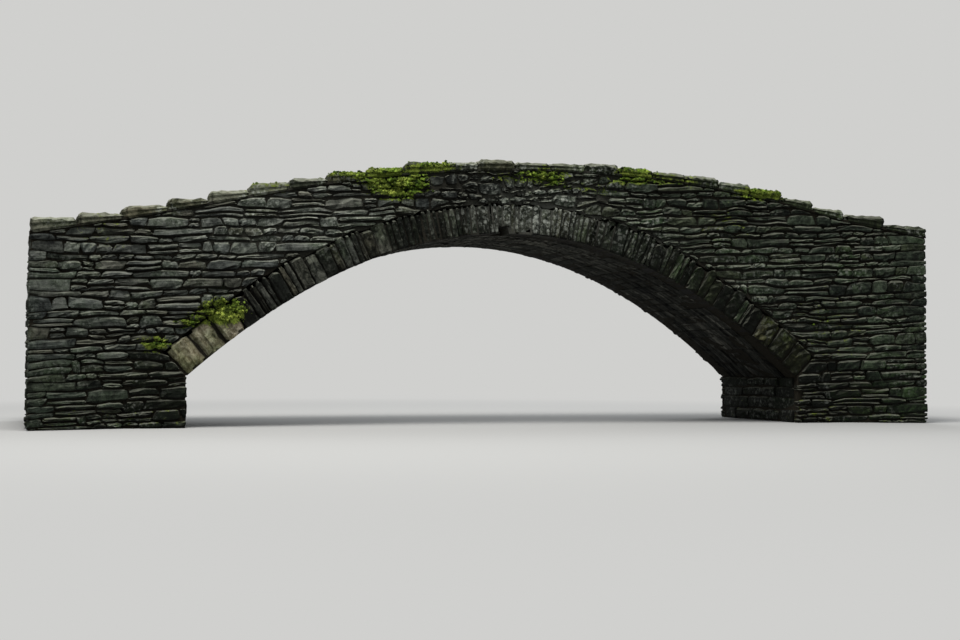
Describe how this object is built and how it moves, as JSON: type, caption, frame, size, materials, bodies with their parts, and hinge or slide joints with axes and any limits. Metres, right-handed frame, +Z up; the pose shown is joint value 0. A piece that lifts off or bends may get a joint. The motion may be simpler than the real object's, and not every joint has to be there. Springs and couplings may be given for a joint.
{
  "type": "stone arch bridge",
  "caption": "Narrow humped masonry bridge with one segmental arch of thin radial stones, rubble spandrels, low parapets with slab coping and flared wing walls.",
  "frame": {"origin": "on the ground under the middle of the arch, at the centre of the bridge's length and width", "axes": "+X along the bridge, from the left bank to the right bank as the downstream face is seen; +Y upstream, across the bridge; +Z up"},
  "size_m": [14.4, 3.6996, 4.1542],
  "materials": {
    "abutment_stone": "dark, damp coursed blocks with pale worn edges",
    "soffit_stone": "dark purple-brown slate, smooth and damp",
    "ring_stone": "dark grey-brown slate slabs with lime and lichen spots",
    "springer_stone": "pale beige dressed blocks, mossy on their upper edges",
    "wall_stone": "thin coursed slate rubble, weathered grey, with moss patches",
    "coping_stone": "rough flat slabs, lichened and mossy",
    "rubble_fill": "rubble and earth",
    "gravel": "trodden gravel with grass along the edges"
  },
  "bodies": {
    "root": {"left_abutment": "abutment_stone", "right_abutment": "abutment_stone", "left_barrel_springing": "soffit_stone", "left_barrel_haunch": "soffit_stone", "barrel_crown": "soffit_stone", "right_barrel_haunch": "soffit_stone", "right_barrel_springing": "soffit_stone", "downstream_left_springers": "springer_stone", "downstream_left_ring": "ring_stone", "downstream_crown_ring": "ring_stone", "downstream_right_ring": "ring_stone", "downstream_right_springers": "springer_stone", "upstream_left_springers": "springer_stone", "upstream_left_ring": "ring_stone", "upstream_crown_ring": "ring_stone", "upstream_right_ring": "ring_stone", "upstream_right_springers": "springer_stone", "downstream_left_spandrel": "wall_stone", "downstream_right_spandrel": "wall_stone", "upstream_left_spandrel": "wall_stone", "upstream_right_spandrel": "wall_stone", "downstream_left_parapet": "wall_stone", "downstream_right_parapet": "wall_stone", "upstream_left_parapet": "wall_stone", "upstream_right_parapet": "wall_stone", "downstream_left_coping": "coping_stone", "downstream_right_coping": "coping_stone", "upstream_left_coping": "coping_stone", "upstream_right_coping": "coping_stone", "downstream_left_wing": "wall_stone", "downstream_right_wing": "wall_stone", "upstream_left_wing": "wall_stone", "upstream_right_wing": "wall_stone", "downstream_left_wing_coping": "coping_stone", "downstream_right_wing_coping": "coping_stone", "upstream_left_wing_coping": "coping_stone", "upstream_right_wing_coping": "coping_stone", "left_fill": "rubble_fill", "right_fill": "rubble_fill", "roadway": "gravel"}
  },
  "joints": []
}
